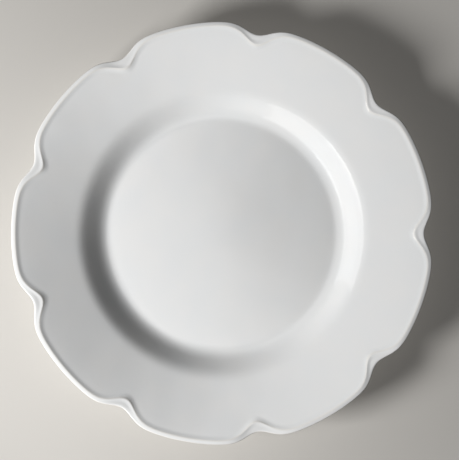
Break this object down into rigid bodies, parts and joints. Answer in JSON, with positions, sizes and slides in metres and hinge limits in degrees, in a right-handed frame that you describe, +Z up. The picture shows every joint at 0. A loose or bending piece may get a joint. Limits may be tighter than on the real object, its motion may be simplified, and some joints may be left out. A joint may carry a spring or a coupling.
{
  "type": "buffet plate",
  "caption": "Wide-rimmed round plate with a flat well, a scalloped edge with a raised lip and a bare foot ring, in white glazed porcelain, for serving food.",
  "frame": {"origin": "centre of the foot ring, on the plane that it stands on", "axes": "+Z up along the plate's axis, +X towards one notch of the edge"},
  "size_m": [0.303, 0.3048, 0.0317],
  "materials": {
    "biscuit": "fired and unglazed, fine-grained, matte",
    "glaze": "clear glossy glaze over white porcelain"
  },
  "bodies": {
    "root": {"biscuit_body": "biscuit", "glaze_coat": "glaze", "base_glaze": "glaze"}
  },
  "joints": []
}
